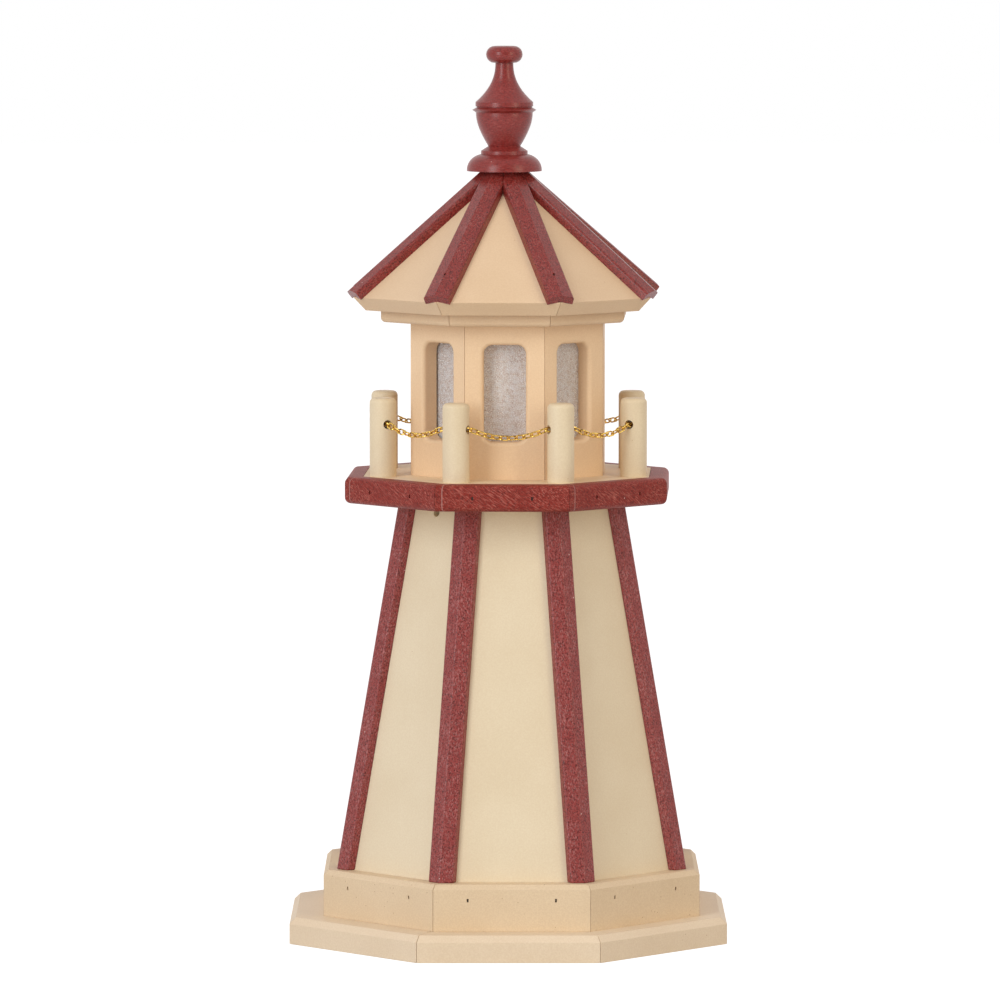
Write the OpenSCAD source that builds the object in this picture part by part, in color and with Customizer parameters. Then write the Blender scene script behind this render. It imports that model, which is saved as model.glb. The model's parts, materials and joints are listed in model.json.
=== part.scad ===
// Octagonal garden lighthouse ornament, built up from mitred plastic lumber boards.
// Millimetres. +Z is up, the front faces -Y, and the origin is on the ground under the middle
// of the base. Side 1 is the front, and sides and corners count anticlockwise seen from above.

/* [Base and plinth] */
// Base ring, across its flats
base_af = 311.5; // [300:0.5:330]
// Height of the base boards
base_h = 19; // [15:0.5:25]
// Width of the base boards, from the outside in
base_board_w = 64; // [56:1:80]
// Chamfer along the base ring's top edge
base_chamfer = 4.5; // [1:0.5:8]
// Plinth ring, across its flats
plinth_af = 268; // [258:1:276]
// Height of the plinth boards
plinth_h = 33; // [26:1:45]
// Thickness of the plinth boards at their top edge
plinth_t = 15.3; // [14.5:0.1:22]
// Chamfer along the plinth's top edge
plinth_chamfer = 3.5; // [1:0.5:6]
// Gap in every mitre joint between two boards
mitre_gap = 0.3; // [0.05:0.05:0.4]
// Offset of plinth and tower to the right of the base's middle, as the real ones were fastened
tower_shift = 2.4; // [-4:0.1:4]

/* [Tower] */
// Height of the tower between the plinth and the gallery
tower_h = 261; // [200:1:320]
// Tower at its top, across the flats of the panels
tower_top_af = 149; // [140:0.2:160]
// Thickness of the tower panels
tower_wall = 12.7; // [9:0.1:16]
// Width of the ribs that cover the tower's corners
tower_rib_w = 19; // [14:0.5:24]
// Height of a tower rib's side walls
tower_rib_t = 6.3; // [5:0.1:9]
// Rounding of a rib's outer edges, on tower and roof
rib_round = 2; // [0.5:0.5:3]
// Vent hole drilled through the front left panel
vent_d = 5.8; // [4:0.1:8]
// Depth of the vent hole's centre below the gallery
vent_drop = 5.6; // [4.5:0.1:20]

/* [Gallery] */
// Turn of deck, lantern house and roof, in degrees, as the real ones were nailed on
upper_turn = -2.2; // [-5:0.1:5]
// Gallery, across the flats of its band
gallery_af = 229; // [222:1:240]
// Thickness of the deck boards and the band
gallery_h = 19; // [15:0.5:25]
// Thickness of the band's boards
band_w = 12.7; // [9:0.1:16]
// Rounding of the band's outer edges
band_round = 4.5; // [1:0.5:6]
// Distance of the deck's seam in front of the middle
deck_seam = 27; // [24:1:60]
// Diameter of the wire hole in the deck
deck_hole_d = 10; // [6:0.5:12]

/* [Posts] */
// Diameter of the railing posts
post_d = 19; // [16:0.5:22]
// Height of the posts above the deck
post_h = 56; // [40:1:75]
// Radius of the circle that the posts stand on
post_circle_r = 96.5; // [90:0.5:97]
// Rounding of a post's top edge
post_round = 3.5; // [1:0.5:6]
// Diameter of the chain's hole through a post
chain_bore_d = 6.4; // [6:0.1:8]
// Depth of that hole's centre below a post's top
chain_bore_drop = 18.5; // [10:0.5:25]

/* [Chain] */
// Thickness of the chain's wire
chain_wire = 1.1; // [0.8:0.05:1.2]
// Width of a link over its wire
chain_link_w = 4.7; // [4.2:0.1:5]
// Spacing of the links that is aimed at
chain_pitch = 5.5; // [5:0.1:6.5]
// Free play between two links
chain_slack = 0.3; // [0.2:0.05:0.5]
// Sag of the chain between two posts
chain_sag = 6; // [3:0.5:9]
// Distance of each swag's first link joint from its post
chain_stub = 1.7; // [1.2:0.1:3]

/* [Lantern house] */
// Lantern house, across its flats
lantern_af = 137; // [130:0.5:142]
// Thickness of the lantern walls
lantern_wall = 12.7; // [9:0.1:14]
// Height of the lantern walls
lantern_h = 109.5; // [104:0.5:150]
// Width of a window
window_w = 30; // [20:0.5:32]
// Height of a window
window_h = 69; // [50:0.5:71]
// Height of a window's lower edge above the deck
window_sill = 26.5; // [15:0.5:28]
// Corner radius of a window
window_corner = 6.5; // [3:0.5:9]
// Rounding of a window's outer edge
window_round = 3; // [1:0.5:5]
// Thickness of the glazing panes
pane_t = 2.5; // [2:0.1:4]
// Overlap of a pane behind the window's edge
pane_lap = 5.5; // [3:0.5:5.5]

/* [Roof] */
// Soffit ring, across its flats
soffit_af = 173; // [168:1:182]
// Thickness of the soffit boards
soffit_h = 19; // [15:0.5:22]
// Width of the soffit boards, from the outside in
soffit_board_w = 50; // [44:1:54]
// Rounding of the soffit's lower outer edge
soffit_round = 3.5; // [1:0.5:6]
// Width of the bevel that the roof panels lie on
soffit_bevel = 1; // [0.5:0.1:3]
// Thickness of the plate that keeps the roof in place
plate_h = 12.7; // [8:0.1:16]
// Diameter of that plate's hole
plate_hole_d = 60; // [50:1:66]
// Gap between that plate and the panes
plate_clear = 4; // [3.5:0.1:5]
// Offset of the loose roof to the right of the lantern's middle, within that gap
roof_shift = -2.8; // [-3:0.1:3]
// Slope of the roof panels, in degrees
roof_slope = 42; // [36:0.5:48]
// Thickness of the roof panels
roof_board = 12.7; // [9:0.1:15]
// Roof across its flats, at the upper edge of the eaves
eave_af = 211; // [205:1:225]
// Flat top of the roof under the finial, across its flats
roof_seat_af = 15; // [9:0.5:18]
// Width of the ribs that cover the hips
roof_rib_w = 19; // [14:0.5:22]
// Height of a roof rib's side walls
roof_rib_t = 6.3; // [5:0.1:9]
// Distance from a roof rib's lower end to the eave's corner
roof_rib_setback = 1; // [0:0.5:6]
// Block inside the peak, across its flats at the bottom
peak_block_af = 50; // [40:1:60]
// Block inside the peak, across its flats at the top
peak_block_top_af = 10; // [9:0.5:16]

/* [Finial] */
// Diameter of the finial's flange
flange_d = 53.6; // [46:0.2:60]
// Height of the flange's straight rim
flange_rim_h = 1; // [0.5:0.1:2]
// Height of the domed part of the flange
dome_h = 11.3; // [8:0.1:14]
// Diameter of the dome where its curve would end flat
dome_flat_d = 28; // [20:0.5:32]
// Diameter of the foot ring above the flange
foot_d = 33.4; // [33:0.2:36]
// Height of the foot ring's straight side
foot_h = 2.4; // [1:0.1:4]
// Height of the foot ring's sloping top
foot_top_h = 3.3; // [2:0.1:5]
// Diameter of the bowl's lower end
bowl_low_d = 23; // [18:0.5:28]
// Diameter of the bowl's upper end
bowl_top_d = 40.6; // [36:0.2:44]
// Height of the bowl
bowl_h = 24; // [18:0.5:30]
// Diameter of the sharp bead round the bowl
bead_d = 45.8; // [45:0.2:50]
// Height of the bead
bead_h = 3.7; // [2:0.1:5]
// Diameter of the collar above the bead
collar_d = 41.2; // [38:0.2:44]
// Height of the collar
collar_h = 2.9; // [2:0.1:4]
// Diameter of the grooves below and above the collar
collar_groove_d = 39.4; // [34:0.2:40]
// Diameter of the spire's upper end
spire_top_d = 12.8; // [10:0.2:18]
// Height of the spire
spire_h = 27.9; // [20:0.5:40]
// Diameter of the knob
knob_d = 26.1; // [22:0.2:32]
// Height of the knob
knob_h = 12.1; // [9:0.1:13]

/* [Lamp] */
// Diameter of the lampholder's body
socket_d = 25; // [22:0.5:28]
// Height of the lampholder above the deck
socket_h = 36; // [30:0.5:44]
// Diameter of the lampholder's flange
socket_flange_d = 40; // [38:0.5:44]
// Thickness of that flange
socket_flange_h = 4; // [3:0.5:6]
// Height of the lampholder's inner floor above the deck
socket_floor_h = 14; // [12:0.5:18]
// Thickness of the centre contact
contact_t = 0.8; // [0.5:0.1:1.2]
// Diameter of the bulb's screw cap
cap_d = 11.7; // [11:0.1:12.5]
// Length of the bulb's screw cap
cap_h = 21; // [19:0.5:24]
// Diameter of the bulb's glass
bulb_d = 22; // [18:0.5:26]
// Height of the bulb's glass above its cap
bulb_h = 38; // [30:0.5:44]
// Thickness of the bulb's glass
bulb_wall = 0.6; // [0.5:0.05:0.9]
// Radial gap between the cap and the lampholder
cap_clear = 0.3; // [0.2:0.05:0.5]
// Bore of the grommet that the supply cord enters by
cord_bore_d = 8; // [6:0.1:10]
// Wall of that grommet
grommet_wall = 2; // [1.5:0.1:3]
// Width and thickness of that grommet's flange
grommet_flange = 2; // [1.5:0.1:3]

/* [Fasteners] */
// Thickness of the brads' square wire
brad_t = 1.2; // [1:0.1:1.6]
// Length of the slot that a brad's head leaves in the board
brad_head_w = 2.4; // [2:0.1:3]
// Length of the brads through plinth and band
brad_len = 22; // [18:1:24]
// Length of the brads through the roof ribs
rib_brad_len = 16; // [12:1:17]
// Depth of the brads' heads below the surface
brad_sink = 1.2; // [0.5:0.1:1.5]
// Spacing of the two brads in a plinth board
plinth_brad_gap = 62; // [40:1:80]
// Depth of the plinth's brads below its top
plinth_brad_drop = 11; // [9:0.5:16]
// Spacing of the two brads in a band board
band_brad_gap = 42; // [25:1:44]
// Distance of a roof rib's brad from the rib's lower end
rib_brad_up = 22; // [14:0.5:40]
// Diameter of the wood screws
screw_d = 4; // [3:0.1:4.2]
// Diameter of their countersunk heads
screw_head_d = 8; // [6.5:0.1:8.4]
// Length of the screws into plinth and posts
screw_len = 38; // [34:1:42]
// Length of the short screws into soffit and deck
short_screw_len = 22; // [20:1:24]
// Spacing of the two screws in a base board
base_screw_gap = 40; // [30:1:50]
// Diameter of the screw into the finial
finial_screw_d = 4.8; // [4:0.1:5.5]
// Length of the screw into the finial
finial_screw_len = 60; // [50:1:70]
// Gap all round a brad or a screw in its hole
fastener_gap = 0.05; // [0.02:0.01:0.1]

/* [Hidden] */

$fn = 48;
tan_board = "#E8D6B8";
cherry_board = "#7D3737";
sides = 8;
side_turn = 360 / sides;
half_turn = side_turn / 2;
reach = 1.3 * base_af;   // longer than any board, for cutting solids
past = 1;                // how far a cut runs past a face

// Levels, from the ground up
plinth_z = base_h;
tower_z = plinth_z + plinth_h;
gallery_z = tower_z + tower_h;
deck_z = gallery_z + gallery_h;
soffit_z = deck_z + lantern_h;
soffit_top_z = soffit_z + soffit_h;

// Tower as an octagonal pyramid: apothem of its outer faces at a height, and its apex
tower_foot_ap = plinth_af / 2 - plinth_t;
tower_taper = (tower_foot_ap - tower_top_af / 2) / tower_h;
function tower_ap(z) = tower_foot_ap - (z - tower_z) * tower_taper;
tower_slope = atan(1 / tower_taper);
tower_apex_z = tower_z + tower_foot_ap / tower_taper;
tower_wall_across = tower_wall / sin(tower_slope);

// Roof as an octagonal pyramid that lies on the soffit's bevel
roof_inner_apex_z = soffit_top_z + (soffit_af / 2 - soffit_bevel) * tan(roof_slope);
roof_apex_z = roof_inner_apex_z + roof_board / cos(roof_slope);
roof_seat_z = roof_apex_z - roof_seat_af / 2 * tan(roof_slope);
hip_slope = atan(tan(roof_slope) * cos(half_turn));
hip_len = eave_af / 2 / cos(half_turn) / cos(hip_slope);
roof_rib_end = hip_len - roof_rib_setback;
peak_block_z = roof_inner_apex_z - peak_block_af / 2 * tan(roof_slope);
peak_block_top_z = roof_inner_apex_z - peak_block_top_af / 2 * tan(roof_slope);

// Half the angle between two neighbouring faces of such a pyramid
function face_tilt(slope) = acos(pow(cos(slope), 2) + pow(sin(slope), 2) * cos(side_turn)) / 2;

// Lantern glazing and the plate that drops in between the panes
lantern_inner_ap = lantern_af / 2 - lantern_wall;
window_z = deck_z + window_sill + window_h / 2;
pane_w = window_w + 2 * pane_lap;
pane_h = window_h + 2 * pane_lap;
plate_ap = lantern_inner_ap - pane_t - plate_clear;

// Chain: a swag hangs between two joints just outside the posts, in an upright plane
chain_z = deck_z + post_h - chain_bore_drop;
chain_out = post_d / 2 + chain_stub;
swag_half = post_circle_r * sin(half_turn) - chain_out * cos(half_turn);
swag_ap = post_circle_r * cos(half_turn) + chain_out * sin(half_turn);
swag_bend = 8 / 3 * pow(chain_sag / (2 * swag_half), 2);
swag_len = 2 * swag_half * (1 + swag_bend);
swag_links = 2 * round(swag_len / chain_pitch / 2);
post_links = 2 * round(2 * chain_out / chain_pitch / 2);
post_pitch = 2 * chain_out / post_links;
link_inner = max(swag_len / swag_links, post_pitch) + chain_slack;
link_bend_r = (chain_link_w - chain_wire) / 2;
link_roll = 45;
function swag_x(t) = swag_half * (t - swag_bend * pow(t, 3)) / (1 - swag_bend);
function swag_point(i) =
    let (x = swag_x(2 * i / swag_links - 1))
    [x, chain_sag * (pow(x / swag_half, 2) - 1)];

// Lamp
cap_z = deck_z + socket_floor_h + contact_t + fastener_gap;
glass_z = cap_z + cap_h;
cap_wall = 0.5;
cap_tip_h = 2;
neck_d = cap_d - 2 * cap_wall - 2 * fastener_gap;
neck_in = 5;
stem_d = 4;
stem_h = 14;
lead_d = 0.6;
lead_h = 8;
filament_r = 3.2;
socket_screw_r = (socket_d + socket_flange_d) / 4;
socket_screw_d = 3;
socket_screw_head_d = 5.5;
socket_screw_len = 14;

// Fasteners
base_screw_ap = (tower_ap(plinth_z) + plinth_af / 2) / 2;
screw_sink = 1;
plate_screw_ap = (plate_ap + plate_hole_d / 2) / 2;
cord_z = plinth_z + plinth_h / 2;
grommet_d = cord_bore_d + 2 * grommet_wall;
brad_head_h = 0.8;

// ---- Shapes that repeat ----

// Wedge of one side, with half the mitre gap taken off each face
module side_wedge() {
    inset = mitre_gap / 2 / sin(half_turn);
    translate([0, -inset, -reach])
        linear_extrude(3 * reach)
            polygon([[0, 0], reach * [-sin(half_turn), -cos(half_turn)],
                     reach * [sin(half_turn), -cos(half_turn)]]);
}

// Section drawn as [distance from the axis, height], drawn out along a side
module along_side() {
    rotate([90, 0, -90])
        linear_extrude(2 * reach, center = true)
            children();
}

// Places something modelled on the front side, or the corner right of it, on side or corner k
module on_side(k) {
    rotate([0, 0, (k - 1) * side_turn])
        children();
}

module on_corner(k) {
    rotate([0, 0, (k - 0.5) * side_turn])
        children();
}

// Where plinth and tower, deck and lantern house, and the roof stand on the pieces below them
module tower_place() {
    translate([tower_shift, 0, 0])
        children();
}

module upper_place() {
    rotate([0, 0, upper_turn])
        children();
}

module roof_place() {
    translate([roof_shift, 0, 0])
        upper_place()
            children();
}

module side_board(k) {
    on_side(k)
        intersection() {
            along_side() children();
            side_wedge();
        }
}

// Takes the corner off a section, outwards in the direction [1, 1] from its centre
module round_corner(r) {
    difference() {
        square(r + past);
        circle(r);
    }
}

// Section of a board with its outer edges rounded
module bar_section(inner, outer, low, high, round_low = 0, round_high = 0) {
    difference() {
        translate([inner, low])
            square([outer - inner, high - low]);
        if (round_high > 0)
            translate([outer - round_high, high - round_high])
                round_corner(round_high);
        if (round_low > 0)
            translate([outer - round_low, low + round_low])
                mirror([0, 1])
                    round_corner(round_low);
    }
}

module octagon(af) {
    rotate(half_turn)
        circle(d = af / cos(half_turn), $fn = sides);
}

// Solid octagonal pyramid between two heights
module pyramid(apex_z, slope, low, high) {
    low_ap = (apex_z - low) / tan(slope);
    high_ap = (apex_z - high) / tan(slope);
    intersection_for(k = [1:sides / 2])
        on_side(k)
            along_side()
                polygon([[-low_ap, low], [low_ap, low], [high_ap, high], [-high_ap, high]]);
}

// Angle strip down a pyramid's corner, from its apex, drawn on the corner that faces the front;
// its two faces lie parallel to the pyramid's and meet in a ridge over the corner
module corner_strip(apex_z, slope, w, t, length) {
    line_slope = atan(tan(slope) * cos(half_turn));
    tilt = face_tilt(slope);
    wall_top = t - w / 2 * tan(tilt);
    round_z = wall_top + rib_round * (tan(tilt) - 1 / cos(tilt));
    side_steps = 3;
    side = [for (i = [0:side_steps])
        let (a = (90 - tilt) * i / side_steps)
        [w / 2 - rib_round * (1 - cos(a)), round_z + rib_round * sin(a)]];
    translate([0, 0, apex_z])
        rotate([90 + line_slope, 0, 0])
            linear_extrude(length)
                polygon(concat([[w / 2, -w]], side, [[0, t]],
                               [for (i = [side_steps:-1:0]) [-side[i][0], side[i][1]]],
                               [[-w / 2, -w]]));
}

// Brad along +Z from its head; open makes its hole, with the slot that the head came in by
module brad(len, open = false) {
    gap = open ? fastener_gap : 0;
    slot = open ? brad_sink + past : 0;
    translate([-brad_t / 2 - gap, -brad_t / 2 - gap, 0])
        cube([brad_t + 2 * gap, brad_t + 2 * gap, len + gap]);
    translate([-brad_t / 2 - gap, -brad_head_w / 2 - gap, -slot])
        cube([brad_t + 2 * gap, brad_head_w + 2 * gap, brad_head_h + gap + slot]);
}

// Countersunk screw along +Z from its head; open makes its hole
module screw(len, d, head_d, open = false) {
    gap = open ? fastener_gap : 0;
    head_h = (head_d - d) / 2;
    rotate_extrude()
        polygon([[0, -gap], [head_d / 2 + gap, -gap], [head_d / 2 + gap, 0],
                 [d / 2 + gap, head_h], [d / 2 + gap, len - d + gap], [0, len + 2 * gap]]);
    if (open)
        translate([0, 0, -screw_sink - past])
            cylinder(h = screw_sink + past, d = head_d + 2 * gap);
}

// ---- Where the fasteners go ----

module plinth_brads_at(k, open = false) {
    on_side(k)
        for (x = [-1, 1] * plinth_brad_gap / 2)
            translate([x, brad_sink - plinth_af / 2, tower_z - plinth_brad_drop])
                rotate([-90, 0, 0])
                    brad(brad_len, open);
}

module band_brads_at(k, open = false) {
    on_side(k)
        for (x = [-1, 1] * band_brad_gap / 2)
            translate([x, brad_sink - gallery_af / 2, gallery_z + gallery_h / 2])
                rotate([-90, 0, 0])
                    brad(brad_len, open);
}

module rib_brad_at(k, open = false) {
    on_corner(k)
        translate([0, 0, roof_apex_z])
            rotate([90 + hip_slope, 0, 0])
                translate([0, roof_rib_t - brad_sink, roof_rib_end - rib_brad_up])
                    rotate([90, 0, 0])
                        brad(rib_brad_len, open);
}

module base_screws_at(k, open = false) {
    on_side(k)
        for (x = [-1, 1] * base_screw_gap / 2)
            translate([x, -base_screw_ap, screw_sink])
                screw(screw_len, screw_d, screw_head_d, open);
}

module post_screw_at(k, open = false) {
    on_corner(k)
        translate([0, -post_circle_r, gallery_z + screw_sink])
            screw(screw_len, screw_d, screw_head_d, open);
}

module plate_screw_at(k, open = false) {
    on_side(k)
        translate([0, -plate_screw_ap, soffit_z - plate_h + screw_sink])
            screw(short_screw_len, screw_d, screw_head_d, open);
}

module socket_screws_at(open = false) {
    for (x = [-1, 1] * socket_screw_r)
        translate([x, 0, deck_z + socket_flange_h - screw_sink])
            mirror([0, 0, 1])
                screw(socket_screw_len, socket_screw_d, socket_screw_head_d, open);
}

module finial_screw_at(open = false) {
    translate([0, 0, peak_block_z + screw_sink])
        screw(finial_screw_len, finial_screw_d, screw_head_d, open);
}

// ---- Base, plinth and tower ----

module base_boards() {
    outer = base_af / 2;
    inner = outer - base_board_w;
    color(tan_board)
        for (k = [1:sides])
            difference() {
                side_board(k)
                    polygon([[inner, 0], [outer, 0], [outer, base_h - base_chamfer],
                             [outer - base_chamfer, base_h], [inner, base_h]]);
                tower_place()
                    base_screws_at(k, open = true);
            }
}

module plinth_boards() {
    outer = plinth_af / 2;
    color(tan_board)
        tower_place()
            for (k = [1:sides])
                difference() {
                    side_board(k)
                        polygon([[tower_ap(plinth_z), plinth_z], [outer, plinth_z],
                                 [outer, tower_z - plinth_chamfer],
                                 [outer - plinth_chamfer, tower_z], [tower_foot_ap, tower_z]]);
                    base_screws_at(k, open = true);
                    plinth_brads_at(k, open = true);
                    if (k == 1 + sides / 2) cord_hole();
                }
}

// Hole at the back that the grommet sits in
module cord_hole() {
    translate([0, tower_ap(tower_z) / 2, cord_z])
        rotate([-90, 0, 0])
            cylinder(h = plinth_af / 2, d = grommet_d + 2 * fastener_gap);
}

module tower_panel(k) {
    color(tan_board)
        tower_place()
            difference() {
                side_board(k)
                    polygon([[tower_ap(plinth_z), plinth_z], [tower_ap(gallery_z), gallery_z],
                             [tower_ap(gallery_z) - tower_wall_across, gallery_z],
                             [tower_ap(plinth_z) - tower_wall_across, plinth_z]]);
                plinth_brads_at(k, open = true);
                if (k == 1 + sides / 2) cord_hole();
                if (k == sides)
                    on_side(k)
                        translate([0, -tower_ap(gallery_z) - tower_wall, gallery_z - vent_drop])
                            rotate([-90, 0, 0])
                                cylinder(h = 3 * tower_wall, d = vent_d);
            }
}

module tower_ribs() {
    color(cherry_board)
        tower_place()
            for (k = [1:sides])
                on_corner(k)
                    difference() {
                        intersection() {
                            corner_strip(tower_apex_z, tower_slope, tower_rib_w, tower_rib_t,
                                         3 * reach);
                            translate([-reach / 2, -reach, tower_z])
                                cube([reach, reach, tower_h]);
                        }
                        rotate([0, 0, half_turn])
                            pyramid(tower_apex_z, tower_slope, tower_z - past, gallery_z + past);
                    }
}

// ---- Gallery ----

module deck_board(front) {
    color(tan_board)
        difference() {
            upper_place()
                difference() {
                    translate([0, 0, gallery_z])
                        linear_extrude(gallery_h)
                            intersection() {
                                octagon(gallery_af - 2 * band_w - 2 * mitre_gap);
                                translate([-reach / 2,
                                           front ? -reach - deck_seam : mitre_gap - deck_seam])
                                    square(reach);
                            }
                    for (k = [1:sides])
                        band_brads_at(k, open = true);
                    if (!front) {
                        translate([0, 0, gallery_z - past])
                            cylinder(h = gallery_h + 2 * past, d = deck_hole_d);
                        socket_screws_at(open = true);
                    }
                }
            for (k = [1:sides])
                post_screw_at(k, open = true);
        }
}

module gallery_band() {
    outer = gallery_af / 2;
    color(cherry_board)
        upper_place()
            for (k = [1:sides])
                difference() {
                    side_board(k)
                        bar_section(outer - band_w, outer, gallery_z, deck_z, band_round, band_round);
                    band_brads_at(k, open = true);
                }
}

module posts() {
    color(tan_board)
        for (k = [1:sides])
            difference() {
                on_corner(k)
                    translate([0, -post_circle_r, 0])
                        difference() {
                            rotate_extrude()
                                bar_section(0, post_d / 2, deck_z, deck_z + post_h, 0, post_round);
                            translate([0, 0, chain_z])
                                rotate([0, 90, 0])
                                    cylinder(h = post_d + 2 * past, d = chain_bore_d, center = true);
                        }
                post_screw_at(k, open = true);
            }
}

// ---- Chain ----

// One link lying along X: two straight wires and two half rounds
module link() {
    half = link_inner / 2 - (link_bend_r - chain_wire / 2);
    for (end = [0, 1])
        mirror([end, 0, 0])
            translate([half, 0, 0])
                rotate([0, 0, -90])
                    rotate_extrude(angle = 180, $fn = 24)
                        translate([link_bend_r, 0])
                            circle(d = chain_wire);
    for (y = [-1, 1] * link_bend_r)
        translate([0, y, 0])
            rotate([0, 90, 0])
                cylinder(h = 2 * half, d = chain_wire, center = true, $fn = 24);
}

module chain_in_posts() {
    color("gold")
        for (k = [1:sides])
            on_corner(k)
                for (i = [0:post_links - 1])
                    translate([(i + 0.5) * post_pitch - chain_out, -post_circle_r, chain_z])
                        rotate([i % 2 == 0 ? link_roll : -link_roll, 0, 0])
                            link();
}

module chain_swag(k) {
    color("gold")
        on_side(k)
            translate([0, -swag_ap, chain_z])
                for (i = [0:swag_links - 1]) {
                    from = swag_point(i);
                    to = swag_point(i + 1);
                    rise = atan2(to[1] - from[1], to[0] - from[0]);
                    translate([(from[0] + to[0]) / 2, 0, (from[1] + to[1]) / 2])
                        rotate([0, -rise, 0])
                            rotate([i % 2 == 0 ? link_roll : -link_roll, 0, 0])
                                link();
                }
}

// ---- Lantern house ----

// Opening with a rounded outer edge, on a face at z = 0 that looks along +Z
module window_cut() {
    translate([0, 0, -2 * lantern_wall])
        linear_extrude(3 * lantern_wall)
            difference() {
                square([window_w, window_h], center = true);
                for (mx = [0, 1], my = [0, 1])
                    mirror([mx, 0])
                        mirror([0, my])
                            translate([window_w / 2 - window_corner, window_h / 2 - window_corner])
                                round_corner(window_corner);
            }
    for (mx = [0, 1], my = [0, 1])
        mirror([mx, 0, 0])
            mirror([0, my, 0])
                translate([window_w / 2 - window_corner, window_h / 2 - window_corner, 0])
                    rotate_extrude(angle = 90)
                        translate([window_corner, 0])
                            routed_edge();
    for (end = [0, 1]) {
        mirror([end, 0, 0])
            translate([window_w / 2, 0, 0])
                rotate([90, 0, 0])
                    linear_extrude(window_h - 2 * window_corner, center = true)
                        routed_edge();
        mirror([0, end, 0])
            translate([0, window_h / 2, 0])
                rotate([90, 0, 90])
                    linear_extrude(window_w - 2 * window_corner, center = true)
                        routed_edge();
    }
}

// Section that the router takes off an edge at [0, 0]
module routed_edge() {
    difference() {
        translate([-past, -window_round])
            square([window_round + past, window_round + past]);
        translate([window_round, -window_round])
            circle(window_round);
    }
}

module lantern_wall(k) {
    color(tan_board)
        upper_place()
            difference() {
                side_board(k)
                    bar_section(lantern_inner_ap, lantern_af / 2, deck_z, soffit_z);
                on_side(k)
                    translate([0, -lantern_af / 2, window_z])
                        rotate([90, 0, 0])
                            window_cut();
            }
}

module glazing_panes() {
    color("lightgrey", 0.6)
        upper_place()
            for (k = [1:sides])
                on_side(k)
                    translate([-pane_w / 2, -lantern_inner_ap, window_z - pane_h / 2])
                        cube([pane_w, pane_t, pane_h]);
}

// ---- Roof ----

module soffit_boards() {
    outer = soffit_af / 2;
    color(tan_board)
        roof_place()
            for (k = [1:sides])
                difference() {
                    side_board(k)
                        difference() {
                            bar_section(outer - soffit_board_w, outer, soffit_z, soffit_top_z,
                                        soffit_round, 0);
                            polygon([[outer - soffit_bevel, soffit_top_z],
                                     [outer, soffit_top_z - soffit_bevel * tan(roof_slope)],
                                     [outer + past, soffit_top_z + past]]);
                        }
                    plate_screw_at(k, open = true);
                }
}

module locating_plate() {
    color(tan_board)
        roof_place()
            difference() {
                translate([0, 0, soffit_z - plate_h])
                    linear_extrude(plate_h)
                        difference() {
                            octagon(2 * plate_ap);
                            circle(d = plate_hole_d);
                        }
                for (k = [1:sides])
                    plate_screw_at(k, open = true);
            }
}

module roof_panel(k) {
    eave_ap = eave_af / 2;
    eave_z = roof_apex_z - eave_ap * tan(roof_slope);
    color(tan_board)
        roof_place()
            difference() {
                side_board(k)
                    polygon([[0, roof_seat_z], [roof_seat_af / 2, roof_seat_z], [eave_ap, eave_z],
                             [eave_ap - roof_board * sin(roof_slope),
                              eave_z - roof_board * cos(roof_slope)],
                             [0, roof_inner_apex_z]]);
                finial_screw_at(open = true);
                rib_brad_at(k, open = true);
                rib_brad_at(k - 1, open = true);
            }
}

module roof_ribs() {
    color(cherry_board)
        roof_place()
            for (k = [1:sides])
                difference() {
                    on_corner(k)
                        intersection() {
                            corner_strip(roof_apex_z, roof_slope, roof_rib_w, roof_rib_t,
                                         roof_rib_end);
                            side_wedge();
                            translate([-reach / 2, -reach, 0])
                                cube([reach, reach, roof_seat_z]);
                        }
                    pyramid(roof_apex_z, roof_slope, soffit_z, roof_seat_z + past);
                    rib_brad_at(k, open = true);
                }
}

module peak_block() {
    color(tan_board)
        roof_place()
            difference() {
                pyramid(roof_inner_apex_z, roof_slope, peak_block_z, peak_block_top_z);
                finial_screw_at(open = true);
            }
}

// ---- Finial ----

curve_steps = 10;
dome_end_angle = acos((foot_d - dome_flat_d) / (flange_d - dome_flat_d));
dome_top = flange_rim_h + dome_h * sin(dome_end_angle);
foot_top = dome_top + foot_h;
bowl_low = foot_top + foot_top_h;
bowl_top = bowl_low + bowl_h;
collar_low = bowl_top + bead_h;
collar_rim = 0.8;
collar_top = collar_low + collar_rim + collar_h;
spire_top = collar_top + spire_h;
spire_power = 2.25;
knob_mid = spire_top + knob_h / 2;

finial_outline = concat(
    [[0, 0], [flange_d / 2, 0]],
    [for (i = [0:curve_steps])
        let (a = dome_end_angle * i / curve_steps)
        [(dome_flat_d + (flange_d - dome_flat_d) * cos(a)) / 2, flange_rim_h + dome_h * sin(a)]],
    [[foot_d / 2, foot_top]],
    [for (i = [0:curve_steps])
        let (t = i / curve_steps)
        [(bowl_low_d + (bowl_top_d - bowl_low_d) * sin(90 * t)) / 2, bowl_low + bowl_h * t]],
    [[bead_d / 2, bowl_top + bead_h / 2], [collar_groove_d / 2, collar_low],
     [collar_groove_d / 2, collar_low + collar_rim / 2], [collar_d / 2, collar_low + collar_rim]],
    [for (i = [0:curve_steps])
        let (t = 1 - i / curve_steps)
        [(spire_top_d + (collar_d - spire_top_d) * pow(t, spire_power)) / 2,
         spire_top - spire_h * t]],
    [for (i = [1:curve_steps])
        let (a = -90 + 180 * i / curve_steps)
        [(knob_d - knob_h + knob_h * cos(a)) / 2, knob_mid + knob_h / 2 * sin(a)]],
    [[0, knob_mid + knob_h / 2]]);

module finial() {
    color(cherry_board)
        roof_place()
            difference() {
                translate([0, 0, roof_seat_z])
                    rotate_extrude($fn = 96)
                        polygon(finial_outline);
                finial_screw_at(open = true);
            }
}

// ---- Lamp ----

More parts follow.
